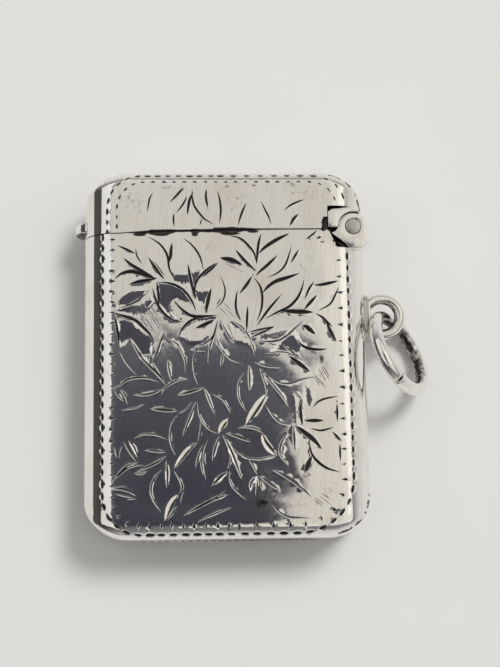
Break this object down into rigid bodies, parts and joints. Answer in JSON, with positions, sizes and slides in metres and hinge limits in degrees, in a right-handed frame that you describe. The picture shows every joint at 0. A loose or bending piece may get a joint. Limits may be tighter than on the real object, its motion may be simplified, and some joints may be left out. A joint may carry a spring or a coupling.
{
  "type": "vesta case",
  "caption": "Flat rounded silver pocket match safe with leaf engraving, a sprung side-hinged lid, a striker base and a split ring on a side loop.",
  "frame": {"origin": "middle of the flat back panel, on which the case lies", "axes": "+Z out of the front panel, +Y towards the lid, +X towards the hinge and the loop"},
  "size_m": [0.0441, 0.045, 0.0101],
  "materials": {
    "engraved_silver": "polished silver with bright-cut engraving and dark patina in the cuts",
    "plain_silver": "polished silver, worn smooth",
    "inner_silver": "dull tarnished silver",
    "striker_silver": "filed silver with grime in the ridges",
    "spring_steel": "blued spring steel"
  },
  "bodies": {
    "case": {"body_front_shell": "engraved_silver", "body_back_shell": "engraved_silver", "striker_plate": "striker_silver", "mouth_collar": "inner_silver", "body_hinge_recess": "inner_silver", "body_hinge_block": "plain_silver", "hinge_pin": "plain_silver", "lid_spring": "spring_steel", "loop_seat": "plain_silver", "suspension_loop": "plain_silver", "loop_washer": "inner_silver"},
    "lid": {"lid_front_shell": "engraved_silver", "lid_back_shell": "engraved_silver", "lid_hinge_recess": "inner_silver", "lid_hinge_block": "plain_silver", "thumb_piece": "plain_silver"},
    "ring": {"jump_ring": "plain_silver"}
  },
  "joints": [
    {"name": "lid_hinge", "type": "hinge", "parent": "case", "child": "lid", "pos_m": [0.0158, 0.0154, 0.00475], "axis": [0, 0, -1], "range_deg": [0, 90], "deforming": ["lid_spring"]},
    {"name": "ring_swivel", "type": "hinge", "parent": "case", "child": "ring", "pos_m": [0.0196, 0.0048, 0.00475], "axis": [0, 0, 1], "range_deg": [-6, 130]}
  ]
}
